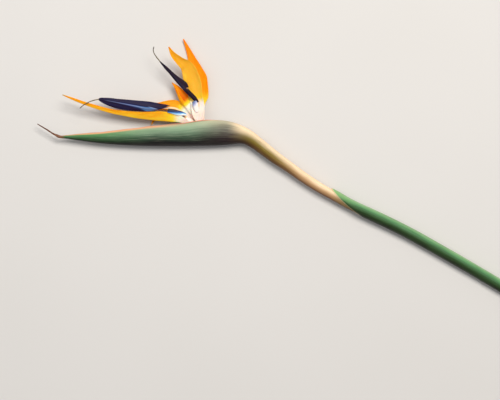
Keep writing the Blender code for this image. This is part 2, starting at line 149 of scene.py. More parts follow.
def grow(length, stations, columns, place):
    """A skin, wrapped round and closed at its ends.

    A station is a distance along the piece and a size. place(distance, size, turn from -1 to 1) gives
    a point and its grain: two numbers for how it lies round the piece, and the distance along it.
    """
    bm = bmesh.new()
    grain = bm.verts.layers.float_vector.new("grain")
    along = bm.verts.layers.float.new("along")
    last = len(stations) - 1
    grid = bmesh.ops.create_grid(bm, x_segments=last, y_segments=columns, size=1.0)
    for vert in grid["verts"]:
        distance, size = stations[round((vert.co.x + 1.0) / 2.0 * last)]
        vert.co, vert[grain] = place(distance, size, vert.co.y)
        vert.co.z = max(vert.co.z, 0.0)
        vert[along] = distance / length
    bmesh.ops.remove_doubles(bm, verts=bm.verts, dist=WELD)
    bmesh.ops.recalc_face_normals(bm, faces=bm.faces)
    return bm


def rounded(start, end, count, radius):
    """Stations whose size shrinks to nothing over a round edge at both ends."""
    turns = [radians(angle) for angle in even(0.0, 90.0, ROUND_STEPS)]
    first = [(start + radius * (1.0 - cos(turn)), sin(turn)) for turn in turns]
    final = [(end - radius * (1.0 - sin(turn)), cos(turn)) for turn in turns[1:]]
    middle = [(distance, 1.0) for distance in even(start + radius, end - radius, count)[1:]]
    return first + middle + final


class Value:
    """A number, vector or colour in a material's nodes. Its operators and methods add nodes."""

    def __init__(self, paint, socket):
        self.paint = paint
        self.socket = socket

    def math(self, operation, first, second):
        return self.paint.node("Math", {"operation": operation}, {0: first, 1: second})

    def __add__(self, other):
        return self.math("ADD", self, other)

    def __sub__(self, other):
        return self.math("SUBTRACT", self, other)

    def __rsub__(self, other):
        return self.math("SUBTRACT", other, self)

    def __mul__(self, other):
        return self.math("MULTIPLY", self, other)

    def __abs__(self):
        return self.math("ABSOLUTE", self, 0.0)

    __radd__ = __add__
    __rmul__ = __mul__

    def rise(self, low, high, start=0.0, end=1.0):
        """A smooth change from start to end as this goes from low to high."""
        sockets = {0: self, 1: low, 2: high, 3: start, 4: end}
        return self.paint.node("MapRange", {"interpolation_type": "SMOOTHSTEP"}, sockets)

    def fall(self, low, high, start=1.0):
        """A smooth change from start to 0 as this goes from low to high."""
        return self.rise(low, high, start, 0.0)

    def mix(self, first, second):
        """The first colour where this is 0 and the second where it is 1, from nodes or as in tint."""
        first, second = (tone if isinstance(tone, Value) else tint(*tone) for tone in (first, second))
        settings = {"data_type": "RGBA", "clamp_factor": True}
        # Sockets 6 and 7 and output 2 are the colour ones among several of the same name.
        return self.paint.node("Mix", settings, {0: self, 6: first, 7: second}, out=2)

    def ramp(self, *stops):
        """A colour for each value from 0 to 1. A stop is a value, red, green and blue."""
        stops = [(position, tint(*tone)) for position, *tone in stops]
        return self.paint.node("ValToRGB", {"stops": stops}, {0: self})


class Paint:
    """One material, made of nodes that feed the shader's Base Color, Roughness and Normal."""

    def __init__(self, name, **constants):
        self.material = bpy.data.materials.new(name)
        self.material.use_nodes = True
        self.tree = self.material.node_tree
        self.shader = self.tree.nodes["Principled BSDF"]
        for socket, value in constants.items():
            self.shader.inputs[socket.replace("_", " ")].default_value = value

    def node(self, kind, settings, sockets, out=0):
        """Adds a node: its settings are set first, and then its sockets are given values or links."""
        new = self.tree.nodes.new("ShaderNode" + kind)
        for name, value in settings.items():
            if name == "stops":
                while len(new.color_ramp.elements) < len(value):
                    new.color_ramp.elements.new(1.0)
                for element, (position, colour) in zip(new.color_ramp.elements, value):
                    element.position = position
                    element.color = colour
            else:
                setattr(new, name, value)
        for key, value in sockets.items():
            if isinstance(value, Value):
                self.tree.links.new(value.socket, new.inputs[key])
            else:
                new.inputs[key].default_value = value
        return Value(self, new.outputs[out])

    def split(self, vector):
        """The three numbers of a vector."""
        parts = self.node("SeparateXYZ", {}, {0: vector}).socket.node
        return [Value(self, output) for output in parts.outputs]

    def surface(self):
        """Two numbers for how the surface lies round the piece, and the distance along it in mm."""
        return self.node("Attribute", {"attribute_name": "grain"}, {}, out="Vector")

    def grain(self):
        """The surface's three numbers, and the share of the piece's length."""
        along = self.node("Attribute", {"attribute_name": "along"}, {}, out="Fac")
        return *self.split(self.surface()), along

    def place(self):
        """The point in mm, as in the tables of rows."""
        point = self.node("TexCoord", {}, {}, out="Object")
        moved = self.node("VectorMath", {"operation": "SUBTRACT"}, {0: point, 1: NECK})
        return self.node("VectorMath", {"operation": "SCALE"}, {0: moved, "Scale": 1.0 / MM})

    def noise(self, x, y, z, detail=3.0, roughness=0.55, on=None):
        """Noise from 0 to 1, with about x, y and z swells in a unit of the surface or another vector."""
        scaled = self.node("VectorMath", {"operation": "MULTIPLY"}, {0: on or self.surface(), 1: (x, y, z)})
        sockets = {"Vector": scaled, "Scale": 1.0, "Detail": detail, "Roughness": roughness}
        return self.node("TexNoise", {}, sockets)

    def finish(self, colour, roughness, height, distance):
        """Feeds the shader and gives the material. The height is in units of a distance in mm."""
        bump = self.node("Bump", {}, {"Height": height, "Distance": distance * MM, "Strength": 1.0})
        for name, value in (("Base Color", colour), ("Roughness", roughness), ("Normal", bump)):
            self.tree.links.new(value.socket, self.shader.inputs[name])
        return self.material


def tint(red, green, blue):
    """A colour given as a screen shows it, from 0 to 255."""
    shares = [value / 255.0 for value in (red, green, blue)]
    return tuple(s / 12.92 if s <= 0.04045 else ((s + 0.055) / 1.055) ** 2.4 for s in shares) + (1.0,)


def settle(name, bm, material):
    """Puts a finished skin in its place instead of the plain solid of the same node."""
    bmesh.ops.transform(bm, matrix=Matrix.Translation(NECK) @ Matrix.Scale(MM, 4), verts=bm.verts)
    mesh = bpy.data.meshes.new(name)
    bm.to_mesh(mesh)
    bm.free()
    mesh.shade_smooth()
    mesh.materials.append(material)
    piece = bpy.data.objects.new(name + "_fine", mesh)
    bpy.context.collection.objects.link(piece)
    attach(piece, "root")
    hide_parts(name)


stalk_line = Line(STALK_ROWS)


def stalk_point(distance, size, turn):
    """The stalk is round, with faint ribs that come and go along it."""
    centre, across, up, (half_height, half_depth) = stalk_line.station(distance)
    cosine = cos(pi * turn)
    sine = sin(pi * turn)
    rib = cos(STALK_RIBS * pi * turn) + 1.5 * wobble(cosine, sine, distance * 0.06)
    rib *= STALK_RIB_HEIGHT * held((distance - STALK_RIBS_START) / STALK_RIBS_FADE)
    point = centre + across * (half_height + rib) * cosine * size + up * (half_depth + rib) * sine * size
    return point, (cosine * size, sine * size, distance)


def cut_face(end, radius):
    """Stations that close a tube with a flat cut face, a small broken edge and a slight hollow."""
    edge = BROKEN_EDGE / radius
    sizes = (1.0, 1.0 - 0.3 * edge, 1.0 - edge, 0.8, 0.55, 0.3, 0.0)
    backs = (BROKEN_EDGE, 0.3 * BROKEN_EDGE, 0.0, 0.0, 0.05, 0.1, 0.12)
    return [(end - back, size) for back, size in zip(backs, sizes)]


def neck_colour(x, under, cloud):
    """Cream above and brown below, where the brown is painted shade: under goes from -1 to 1. The bend at the
    neck is darker and olive, its own tone deepened by painted shade.
    """
    cream = cloud.mix((250, 228, 194), (236, 206, 162))
    cream = under.fall(-1.0, -0.7, 0.6).mix(cream, (250, 204, 166))
    lower = x.rise(26.0, 64.0)
    # The olive is the bend's own tone deepened by painted shade, and the brown underneath is painted shade.
    olive_and_shade = x.rise(-4.0, 14.0).mix((112, 98, 70), (114, 98, 34))
    olive_and_shade = lower.mix(olive_and_shade, (178, 140, 100))
    brown = x.rise(-4.0, 16.0).mix((44, 26, 16), (82, 54, 24))
    brown = lower.mix(brown, (118, 78, 52))
    turned = under + x.rise(0.0, 16.0, 0.1, 0.2) - x.rise(26.0, 60.0, 0.0, 0.2)
    colour = turned.rise(-0.75, 0.3).mix(cream, olive_and_shade)
    return turned.rise(0.15, 1.0).mix(colour, brown)


def stalk_paint():
    """Cream, olive at the bend and pale where cut, with painted shade: darker at the bend, olive in the
    sheath's mouth and brownish underneath.
    """
    paint = Paint("pale_stalk", Specular_IOR_Level=0.14)
    cosine, sine, distance, _ = paint.grain()
    x, _, _ = paint.split(paint.place())
    streak = paint.noise(11.0, 11.0, 0.035, 4.0)
    cloud = paint.noise(1.5, 1.5, 0.06)
    speck = paint.noise(9.0, 9.0, 1.1, 2.0)
    free = x.rise(8.0, 20.0)
    cloud = (cloud - 0.5) * free
    colour = neck_colour(x, cosine + cloud * 0.5, cloud + 0.5)
    shade = x.rise(85.0, 97.0, 0.0, 0.6) * cosine.rise(-0.6, 0.2)
    colour = shade.mix(colour, (108, 98, 60))
    colour = (streak.rise(0.45, 0.75, 0.0, 0.35) * free).mix(colour, (190, 154, 100))
    colour = (speck.rise(0.63, 0.7, 0.0, 0.3) * free).mix(colour, (150, 108, 64))
    flesh = streak.rise(0.5, 0.66).mix((214, 208, 164), (150, 148, 92))
    flesh = (cosine * cosine + sine * sine).rise(0.6, 0.9).mix(flesh, (176, 166, 104))
    cut = distance.rise(stalk_line.length - BROKEN_EDGE, stalk_line.length - 0.1)
    colour = cut.mix(colour, flesh)
    return paint.finish(colour, streak * 0.25 + 0.36, streak + speck * 0.4, 0.12)


stalk_stations = [(0.0, 0.0), (0.0, 0.6), (0.2, 0.95)]
stalk_stations += [(distance, 1.0) for distance in even(0.8, stalk_line.length - 0.6, STALK_STATIONS)]
stalk_stations += cut_face(stalk_line.length, STALK_ROWS[-1][3])
stalk_skin = grow(stalk_line.length, stalk_stations, STALK_SIDES, stalk_point)
settle("scape", stalk_skin, stalk_paint())


# The leaf sheath is the ribbed green foot of a leaf, rolled tightly round the stalk so that its two
# edges overlap. Its mouth slants back from a pointed lip, and a thin dry edge runs round it.

SHEATH_LIP_X = 84.6
SHEATH_SLANT = 36.0
SHEATH_WALL = 0.9
SHEATH_GAP = 0.3
# Where its edges overlap, in degrees from the mouth's lowest point, by how much, and how far the outer
# one is lifted.
SHEATH_SEAM = -40.0
SHEATH_OVERLAP = 26.0
SHEATH_LAP_LIFT = 0.225
SHEATH_GAPE = 0.25
SHEATH_RAGGED = 0.5
SHEATH_CUT = 0.15
SHEATH_COLUMNS = 200
SHEATH_STATIONS = 200
SHEATH_RIBS = 26
SHEATH_RIB_HEIGHT = 0.06
EDGE_CROWDING = 0.8
SHEATH_SQUARENESS = 40.0


def sheet(turn, squareness):
    """Where a point of a thin sheet's outline lies across the sheet and through it, each from -1 to 1."""
    bend = EDGE_CROWDING * pi / 2.0
    across = sin(bend * (1.0 - 2.0 * abs(turn))) / sin(bend)
    through = sqrt(max(0.0, 1.0 - abs(across) ** squareness))
    return across, copysign(through, -turn)


sheath_lip = stalk_line.distance_at_x(SHEATH_LIP_X)
sheath_run = stalk_line.length - sheath_lip


def sheath_point(run, size, turn):
    """The sheet goes once round the stalk and a little further, with lengthwise ribs."""
    around, through = sheet(turn, SHEATH_SQUARENESS)
    angle = radians(SHEATH_SEAM + 180.0 + around * (180.0 + SHEATH_OVERLAP / 2.0))
    cosine = cos(angle)
    sine = sin(angle)
    rest = 1.0 - run / sheath_run
    slant = SHEATH_SLANT * ((1.0 + cosine) / 2.0) ** 1.5 * rest**2
    ragged = SHEATH_RAGGED * wobble(cosine * 3.0, sine * 3.0) * rest**8
    distance = min(sheath_lip + run + slant + ragged, stalk_line.length)
    centre, across, up, (half_height, _) = stalk_line.station(distance)
    wall = SHEATH_WALL * (0.4 + 0.6 * held(run / 9.0))
    lap = SHEATH_LAP_LIFT * held((around - 0.72) / 0.2)
    rib = SHEATH_RIB_HEIGHT * cos(SHEATH_RIBS * angle) * (0.3 + 0.7 * held(run / 12.0))
    rib += 0.08 * wobble(cosine, sine, distance * 0.05)
    gape = SHEATH_GAPE * (1.0 - held(run / 14.0))
    radius = half_height + SHEATH_GAP + wall / 2.0 + lap + gape + (through * wall / 2.0 + rib) * size
    return centre + across * radius * cosine + up * radius * sine, (cosine, sine, run)


def sheath_paint():
    """Green, light along its upper side and near black underneath, partly its own tone and mostly painted
    light and shade, with pale lengthwise lines and a dry edge.
    """
    paint = Paint("green_sheath", Specular_IOR_Level=0.2)
    under, _, run, _ = paint.grain()
    streak = paint.noise(13.0, 13.0, 0.02, 3.0, 0.6)
    fine = paint.noise(38.0, 38.0, 0.06, 2.0)
    cloud = paint.noise(0.035, 0.035, 0.05, on=paint.place())
    # From the upper side to the underside the green goes from light to near black: partly its own darker
    # green, mostly painted light and shade.
    colour = (under * 0.5 + (streak - 0.5) * 0.3 + 0.5).ramp(
        (0.0, 150, 184, 136), (0.22, 88, 140, 90), (0.4, 46, 92, 48),
        (0.55, 36, 68, 30), (0.72, 28, 40, 18), (0.95, 22, 24, 14),
    )
    colour = fine.rise(0.45, 0.8, 0.0, 0.25).mix(colour, (116, 160, 96))
    colour = cloud.rise(0.4, 0.7, 0.0, 0.25).mix(colour, (52, 84, 44))
    # Painted highlight: lighter green along the upper side near the mouth.
    mouth_top_highlight = run.fall(0.0, 30.0, 0.5) * under.fall(-0.7, 0.1)
    colour = mouth_top_highlight.mix(colour, (146, 190, 116))
    dry = (run + fine * 1.2).fall(0.9, 2.2)
    colour = dry.mix(colour, (226, 208, 162))
    cut = run.rise(sheath_run - SHEATH_CUT, sheath_run)
    colour = cut.mix(colour, fine.mix((186, 202, 146), (140, 166, 104)))
    return paint.finish(colour, streak * 0.2 + 0.34, streak * 0.8 + fine * 0.6, 0.16)


sheath_stations = [(0.0, 0.0)]
sheath_stations += [(share**2 * sheath_run, 1.0) for share in even(0.0, 1.0, SHEATH_STATIONS)[1:-1]]
sheath_stations += [(sheath_run - SHEATH_CUT, 1.0), (sheath_run, 0.7), (sheath_run, 0.0)]
sheath_skin = grow(sheath_run, sheath_stations, SHEATH_COLUMNS, sheath_point)
settle("sheath", sheath_skin, sheath_paint())


# The bract is a stiff folded leaf that the flowers stand in. Its two pink edges meet at the neck, stand
# apart round the flowers and run close together out to the beak, which ends in a dry brown hook.

NECK_HEADING = (0.9, -0.436, -0.01)
# x, y, z of its middle, height above and below it, half depth, degrees of the top left open, and how
# far the top is pinched.
BRACT_ROWS = (
    (7.0, -3.0, 9.0, 7.32, 7.32, 7.01, 0.0, 0.0),
    (3.5, -1.55, 9.05, 7.97, 7.97, 7.42, 0.0, 0.0),
    (-0.2, -0.5, 9.1, 8.85, 8.85, 7.95, 0.0, 0.0),
    (-8.6, 0.8, 9.15, 10.8, 10.8, 8.9, 0.0, 0.0),
    (-23.8, 1.5, 9.15, 12.1, 12.1, 9.4, 12.0, 0.0),
    (-34.0, 1.3, 9.15, 12.2, 12.2, 9.5, 46.0, 0.0),
    (-47.5, 0.2, 9.15, 11.2, 11.4, 9.4, 48.0, 0.0),
    (-62.0, -0.6, 9.15, 10.4, 10.6, 8.9, 44.0, 0.0),
    (-76.0, -1.3, 9.2, 9.8, 9.9, 8.0, 34.0, 0.1),
    (-104.5, -2.6, 9.3, 7.8, 7.9, 6.0, 22.0, 0.3),
    (-133.0, -3.3, 9.4, 5.2, 5.3, 4.1, 20.0, 0.3),
    (-152.0, -2.9, 9.6, 3.3, 3.3, 2.7, 20.0, 0.2),
    (-165.0, -2.7, 9.8, 1.7, 1.7, 1.5, 8.0, 0.0),
    (-171.0, -2.6, 9.9, 1.15, 1.15, 1.1, 0.0, 0.0),
    (-176.0, -0.5, 10.0, 0.85, 0.85, 0.85, 0.0, 0.0),
    (-184.0, 4.5, 10.2, 0.6, 0.6, 0.6, 0.0, 0.0),
    (-192.5, 9.6, 10.4, 0.4, 0.4, 0.4, 0.0, 0.0),
)
BRACT_COLUMNS = 176
BRACT_STATIONS = 300
BRACT_SQUARENESS = 26.0
# Its fine ridges and its keel, whose width is in degrees.
BRACT_RIDGES = 17.0
BRACT_RIDGE_HEIGHT = 0.05
BRACT_KEEL_WIDTH = 13.0
BRACT_KEEL_HEIGHT = 0.35
# Degrees over which its edges roll, degrees over which they keep apart, and half their gap.
BRACT_MARGIN = 16.0
BRACT_LIPS = 10.0
BRACT_LIP_GAP = 0.12
# Distances along the bract, and its wall there.
BRACT_WALL_ROWS = (
    (0.0, 0.03), (6.0, 0.3), (20.0, 1.25), (70.0, 1.25), (120.0, 0.9), (160.0, 0.75), (206.0, 0.3),
)
DRY_TIP_X = -168.0
DRY_WRINKLE = 0.3
DRY_KNOT = 0.3
DRY_KNOT_PLACE = 5.0
DRY_KNOT_LENGTH = 2.2

bract_line = Line(BRACT_ROWS, [-value for value in NECK_HEADING])
dry_start = bract_line.distance_at_x(DRY_TIP_X)


def bract_outline(values, turn, distance):
    """The outer skin: how high above the middle and how far to the side it is, turned from the top."""
    above, below, depth, opening, pinch = values
    opening = radians(max(opening, 0.0))
    ridge = BRACT_RIDGE_HEIGHT * cos(radians(turn) * BRACT_RIDGES)
    ridge *= min(1.0, depth / 6.0, distance / 14.0)
    if turn >= 90.0:
        keel = BRACT_KEEL_HEIGHT * exp(-((180.0 - turn) / BRACT_KEEL_WIDTH) ** 2)
        keel *= min(1.0, depth / 6.0) * held(distance / 25.0)
        turn = radians(turn)
        return (below + ridge + keel) * cos(turn), (depth + ridge) * sin(turn)
    angle = opening + (pi / 2.0 - opening) * turn / 90.0
    high = (above + ridge) * cos(angle) / cos(opening)
    side = (depth + ridge) * sin(angle) * (1.0 - max(pinch, 0.0) * cos(angle))
    return high, side


def bract_point(distance, size, turn):
    """A thick sheet that is folded round the keel, with rolled edges and a wrinkled dry tip."""
    centre, across, up, values = bract_line.station(distance)
    around, through = sheet(turn, BRACT_SQUARENESS)
    degrees = 180.0 * (1.0 - abs(around))
    side = copysign(1.0, around)
    wall = float(np.interp(distance, *zip(*BRACT_WALL_ROWS)))
    wall = min(wall, 0.7 * values[2]) * held(distance / 0.5)
    high, reach = bract_outline(values, degrees, distance)
    high_next, reach_next = bract_outline(values, degrees + 1.0, distance)
    slope = Vector((high_next - high, reach_next - reach)).normalized()
    outward = Vector((slope.y, -slope.x))
    edge = exp(-(degrees / BRACT_MARGIN) ** 2)
    reach += (wall + BRACT_LIP_GAP) * exp(-(degrees / BRACT_LIPS) ** 2)
    wave = wobble(distance * 0.09, side * 7.0) + 0.5 * wobble(distance * 0.23, side * 3.0)
    roll = edge * held((distance - 28.0) / 12.0) * held((dry_start - 10.0 - distance) / 20.0)
    reach += roll * (0.35 + 0.3 * wave)
    high += roll * 0.35 * wave
    high += outward.x * wall * (through - 1.0) / 2.0
    reach += outward.y * wall * (through - 1.0) / 2.0
    dried = held((distance - dry_start) / 6.0)
    wrinkle = 1.0 + dried * DRY_WRINKLE * wobble(distance * 0.9, degrees * 0.02 * side, 5.0)
    knot = 1.0 + DRY_KNOT * exp(-((distance - dry_start - DRY_KNOT_PLACE) / DRY_KNOT_LENGTH) ** 2)
    scale = size * wrinkle * knot
    point = centre + across * high * scale + up * reach * side * scale
    return point, (around, through, distance)


def bract_paint():
    """Grey-green with a bloom, darker to a purple keel with painted shade, pink edges, a cream neck and a
    brown tip.
    """
    paint = Paint("bract", Specular_IOR_Level=0.12)
    around, through, distance, _ = paint.grain()
    flank = 1.0 - abs(around)
    x, _, _ = paint.split(paint.place())
    streak = paint.noise(26.0, 0.2, 0.018, 4.0, 0.6)
    fine = paint.noise(90.0, 0.2, 0.05, 2.0)
    cloud = paint.noise(3.0, 0.2, 0.03)
    # Each ramp darkens from the edges to the keel: the keel's own purple, deepened by painted shade
    # underneath.
    place = flank + (streak - 0.5) * 0.16 + (cloud - 0.5) * 0.2
    neck = place.ramp(
        (0.0, 206, 194, 162), (0.22, 166, 160, 136), (0.43, 92, 88, 76),
        (0.6, 50, 38, 40), (0.85, 24, 10, 14),
    )
    middle = place.ramp(
        (0.0, 150, 164, 128), (0.2, 138, 162, 130), (0.38, 106, 132, 104),
        (0.56, 58, 78, 60), (0.74, 26, 26, 26), (1.0, 18, 8, 14),
    )
    beak = place.ramp(
        (0.0, 148, 170, 122), (0.2, 96, 142, 88), (0.36, 60, 114, 64),
        (0.56, 48, 84, 48), (0.78, 28, 42, 26), (1.0, 20, 16, 14),
    )
    colour = distance.rise(16.0, 62.0).mix(neck, middle)
    colour = distance.rise(84.0, 150.0).mix(colour, beak)
    bloom = fine.rise(0.5, 0.8, 0.0, 0.4) * flank.rise(0.5, 0.8, 1.0, 0.35)
    colour = bloom.mix(colour, (186, 190, 160))
    fleshy = (distance + (streak - 0.5) * 10.0).fall(4.0, 21.0)
    under = -1.0 * paint.node("Math", {"operation": "COSINE"}, {0: flank * pi})
    uneven = (cloud - 0.5) * distance.rise(1.0, 12.0) + 0.5
    colour = fleshy.mix(colour, neck_colour(x, under, uneven))
    salmon = cloud.mix((232, 172, 130), (218, 150, 114))
    reach = flank + (fine - 0.5) * 0.08 - distance.rise(90.0, 165.0, 0.0, 0.1)
    blush = reach.fall(0.08, 0.2) * distance.rise(48.0, 96.0, 0.0, 0.9)
    blush = blush * distance.rise(120.0, 182.0, 1.0, 0.75)
    colour = blush.mix(colour, salmon)
    margin = flank.fall(0.02, 0.07) * distance.rise(14.0, 34.0)
    redness = distance.rise(60.0, 80.0, 0.8, 0.35)
    colour = (margin * redness).mix(colour, (232, 124, 100))
    inside = through.fall(-0.3, 0.2) * flank.rise(0.03, 0.1) * distance.rise(1.0, 4.0)
    colour = inside.mix(colour, streak.mix((198, 206, 158), (168, 184, 128)))
    dried = (distance + (cloud - 0.5) * 6.0).rise(dry_start - 3.0, dry_start + 3.0)
    brown = streak.mix((150, 104, 78), (86, 58, 42))
    brown = distance.rise(dry_start + 6.0, dry_start + 14.0).mix(brown, (100, 62, 40))
    colour = dried.mix(colour, brown)
    roughness = streak * 0.18 + dried * 0.25 + 0.36
    return paint.finish(colour, roughness, streak * 0.7 + fine * 0.5, 0.14)


bract_stations = [(0.0, 1.0)] + [(distance, 1.0) for distance in even(0.03, 4.0, 12)]
bract_stations += rounded(4.0, bract_line.length, BRACT_STATIONS, 0.4)[ROUND_STEPS + 1:]
bract_skin = grow(bract_line.length, bract_stations, BRACT_COLUMNS, bract_point)
settle("spathe", bract_skin, bract_paint())


# Each flower stands on a waxy white base, its ovary and the foot of its petals. It comes up out of
# the bract's hollow, where most of it is hidden, and blushes pink where it passes the bract's edge.

# x, y, z of the middle and the radius.
BASE_ROWS = {
    "flower_1_base": (
        (-14.85, -4.4, 9.4, 2.8),
        (-28.0, -3.0, 9.4, 3.0),
        (-38.0, 2.6, 9.4, 3.1),
        (-45.0, 9.8, 9.4, 3.1),
        (-51.5, 15.2, 9.4, 2.8),
    ),
    "flower_2_base": (
        (-14.25, 4.4, 9.4, 2.8),
        (-25.0, 5.0, 9.4, 3.0),
        (-33.0, 8.4, 9.4, 3.1),
        (-37.6, 14.0, 9.4, 3.1),
        (-40.3, 24.3, 9.4, 2.65),
    ),
}
BASE_SIDES = 48
BASE_STATIONS = 70
BASE_ROUNDING = 1.2


def base_paint():
    """White with a pink tint and faint lengthwise lines."""
    paint = Paint("flower_base", Specular_IOR_Level=0.45, Subsurface_Weight=0.15, Subsurface_Scale=0.002)
    _, y, _ = paint.split(paint.place())
    streak = paint.noise(7.0, 7.0, 0.06)
    cloud = paint.noise(2.0, 2.0, 0.15)
    colour = streak.mix((248, 240, 228), (244, 226, 208))
    colour = cloud.rise(0.45, 0.75, 0.0, 0.5).mix(colour, (250, 208, 178))
    pink = y.fall(8.0, 14.5)
    colour = (pink * (streak * 0.5 + 0.35)).mix(colour, (234, 138, 116))
    return paint.finish(colour, streak * 0.15 + 0.3, streak, 0.1)


def tube(rows, stations, sides, rounding, uneven):
    """A round piece along a line. uneven(radius, angle, distance) gives its real radius at a place."""
    line = Line(rows)

    def point(distance, size, turn):
        centre, across, up, (radius,) = line.station(distance)
        angle = pi * turn
        radius = uneven(radius, angle, distance) * size
        cosine = cos(angle)
        sine = sin(angle)
        return centre + across * radius * cosine + up * radius * sine, (cosine, sine, distance)

    return grow(line.length, rounded(0.0, line.length, stations, rounding), sides, point)


def base_radius(radius, angle, distance):
    """Bluntly three-sided, with faint swellings."""
    radius *= 0.97 + 0.03 * cos(3.0 * angle + distance * 0.02)
    return radius + 0.06 * wobble(cos(angle), sin(angle), distance * 0.12)


white_base = base_paint()
for base_name, base_rows in BASE_ROWS.items():
    base_skin = tube(base_rows, BASE_STATIONS, BASE_SIDES, BASE_ROUNDING, base_radius)
    settle(base_name, base_skin, white_base)


# The sepals are thin, stiff orange blades with fine lengthwise veins. Their white feet grow out of the
# flower's base. One of each flower's three is folded along a keel, and the others are shallow troughs.

# x, y, z of the middle line, half width, the direction the outer face looks in, and how far each half
# is curled round or, on a keeled sepal, the angle of each half from the keel's own plane.
KEELED_SEPALS = {
    "flower_1_keeled_sepal": (
        (-48.1, 7.2, 10.4, 4.6, 176, 30),
        (-51.9, 9.2, 10.6, 6.0, 176, 28),
        (-57.5, 11.0, 11.0, 7.6, 178, 26),
        (-64.0, 11.5, 11.2, 9.2, 179, 25),
        (-71.0, 12.1, 11.4, 10.8, 180, 26),
        (-78.0, 12.6, 11.8, 11.0, 181, 25),
        (-85.5, 13.4, 12.2, 9.3, 182, 25),
        (-95.0, 14.5, 12.9, 8.0, 183, 25),
        (-104.5, 16.0, 13.6, 6.7, 184, 25),
        (-112.0, 17.5, 14.3, 5.7, 184, 25),
        (-119.5, 19.0, 15.0, 4.9, 184, 25),
        (-130.0, 21.8, 16.2, 4.3, 184, 25),
        (-141.5, 25.5, 17.8, 3.8, 182, 25),
        (-149.0, 28.3, 19.0, 3.3, 181, 25),
        (-156.0, 31.1, 20.2, 2.8, 180, 25),
        (-162.0, 33.8, 21.4, 1.9, 180, 27),
        (-168.0, 36.8, 22.6, 0.5, 180, 30),
    ),
    "flower_2_keeled_sepal": (
        (-41.9, 12.0, 8.9, 4.4, 189, 24),
        (-45.6, 17.2, 8.7, 5.0, 190, 23),
        (-49.4, 22.2, 8.8, 5.4, 191, 22),
        (-53.4, 27.0, 9.4, 8.6, 193, 20),
        (-57.4, 32.2, 10.4, 10.2, 195, 19),
        (-59.6, 37.6, 11.3, 8.4, 195, 20),
        (-61.6, 42.8, 12.4, 5.0, 195, 22),
        (-63.2, 46.2, 13.4, 2.3, 195, 24),
        (-64.6, 48.6, 14.2, 0.5, 195, 26),
    ),
}
OPEN_SEPALS = {
    "flower_1_rear_sepal": (
        (-43.2, 11.4, 6.4, 2.6, -72, 24),
        (-47.4, 16.8, 6.4, 3.6, -76, 24),
        (-53.2, 22.7, 6.4, 4.3, -80, 24),
        (-60.5, 27.4, 5.8, 4.9, -84, 24),
        (-69.5, 27.5, 4.9, 4.6, -82, 24),
        (-76.0, 26.6, 4.9, 3.8, -83, 24),
        (-82.0, 26.2, 5.2, 3.2, -84, 24),
        (-92.0, 26.4, 5.8, 2.8, -86, 22),
        (-104.0, 27.4, 7.0, 1.8, -88, 20),
        (-114.0, 28.6, 8.4, 0.5, -90, 20),
    ),
    "flower_1_hooked_sepal": (
        (-45.6, 7.9, 5.7, 1.5, -115, 24),
        (-50.2, 10.6, 4.7, 2.0, -110, 28),
        (-57.0, 14.5, 2.8, 2.9, -98, 26),
        (-66.0, 16.6, 2.0, 3.3, -90, 24),
        (-74.5, 16.8, 2.0, 2.8, -90, 24),
        (-79.6, 15.2, 2.6, 2.0, -90, 24),
        (-82.7, 12.2, 3.6, 1.1, -90, 20),
        (-84.2, 8.9, 4.8, 0.4, -90, 20),
    ),
    "flower_2_front_sepal": (
        (-37.6, 12.6, 13.4, 4.0, -90, 34),
        (-39.2, 18.0, 12.6, 5.6, -88, 30),
        (-40.0, 26.0, 11.0, 6.4, -82, 28),
        (-40.6, 34.5, 9.2, 7.1, -62, 30),
        (-42.6, 43.5, 10.2, 8.4, -60, 26),
        (-45.3, 54.2, 13.4, 8.9, -64, 26),
        (-50.0, 64.0, 18.2, 6.6, -66, 24),
        (-56.6, 69.2, 22.4, 4.5, -66, 24),
        (-62.4, 74.4, 26.4, 3.0, -66, 24),
        (-67.2, 81.8, 31.0, 0.5, -68, 24),
    ),
    "flower_2_rear_sepal": (
        (-36.9, 13.6, 5.4, 3.4, -84, 30),
        (-37.6, 19.5, 4.2, 4.0, -86, 28),
        (-37.4, 26.6, 2.8, 4.0, -89, 26),
        (-36.8, 31.6, 2.1, 4.5, -90, 24),
        (-36.5, 35.2, 1.6, 6.2, -90, 22),
        (-36.8, 38.8, 1.2, 6.9, -90, 21),
        (-37.2, 42.6, 0.9, 7.2, -90, 20),
        (-39.1, 51.3, 0.5, 8.0, -90, 20),
        (-42.9, 62.7, 0.38, 6.3, -90, 20),
        (-46.1, 72.2, 0.9, 3.7, -90, 20),
        (-50.0, 81.9, 1.9, 1.9, -90, 20),
        (-54.0, 90.6, 3.2, 0.5, -90, 20),
    ),
}
BLADE_COLUMNS = 88
BLADE_STATIONS = 170
BLADE_SQUARENESS = 5.0
VEIN_DEPTH = 0.1
VEIN_WIDTH = 0.05
SEPAL_THICKNESS = 0.62
SEPAL_RIPPLE = 0.75
SEPAL_BLUNTNESS = 0.35
KEEL_ROUNDING = 0.1
NEAR_HALF = 0.42


def trough(across, half_width, bend):
    """A point of a section that is part of a ring, and the direction its outer face looks in."""
    bend = radians(max(bend, 1.0))
    radius = max(half_width, 0.3) / sin(bend)
    cosine = cos(bend * across)
    sine = sin(bend * across)
    return Vector((radius * sine, radius * (1.0 - cosine))), Vector((sine, -cosine))


def fold(across, half_width, bend):
    """A point of a section that is folded along its middle, and the direction its outer face looks in."""
    cosine = cos(radians(bend))
    sine = sin(radians(bend))
    length = hypot(across, KEEL_ROUNDING)
    slope = Vector((sine, cosine * across / length)).normalized()
    place = Vector((half_width * across * sine, half_width * (length - KEEL_ROUNDING) * cosine))
    return place, Vector((slope.y, -slope.x))


def lopsided_fold(across, half_width, bend):
    """A fold whose near half is narrower, so that the inside of the other half shows."""
    return fold(across * (1.0 if across > 0.0 else NEAR_HALF), half_width, bend)


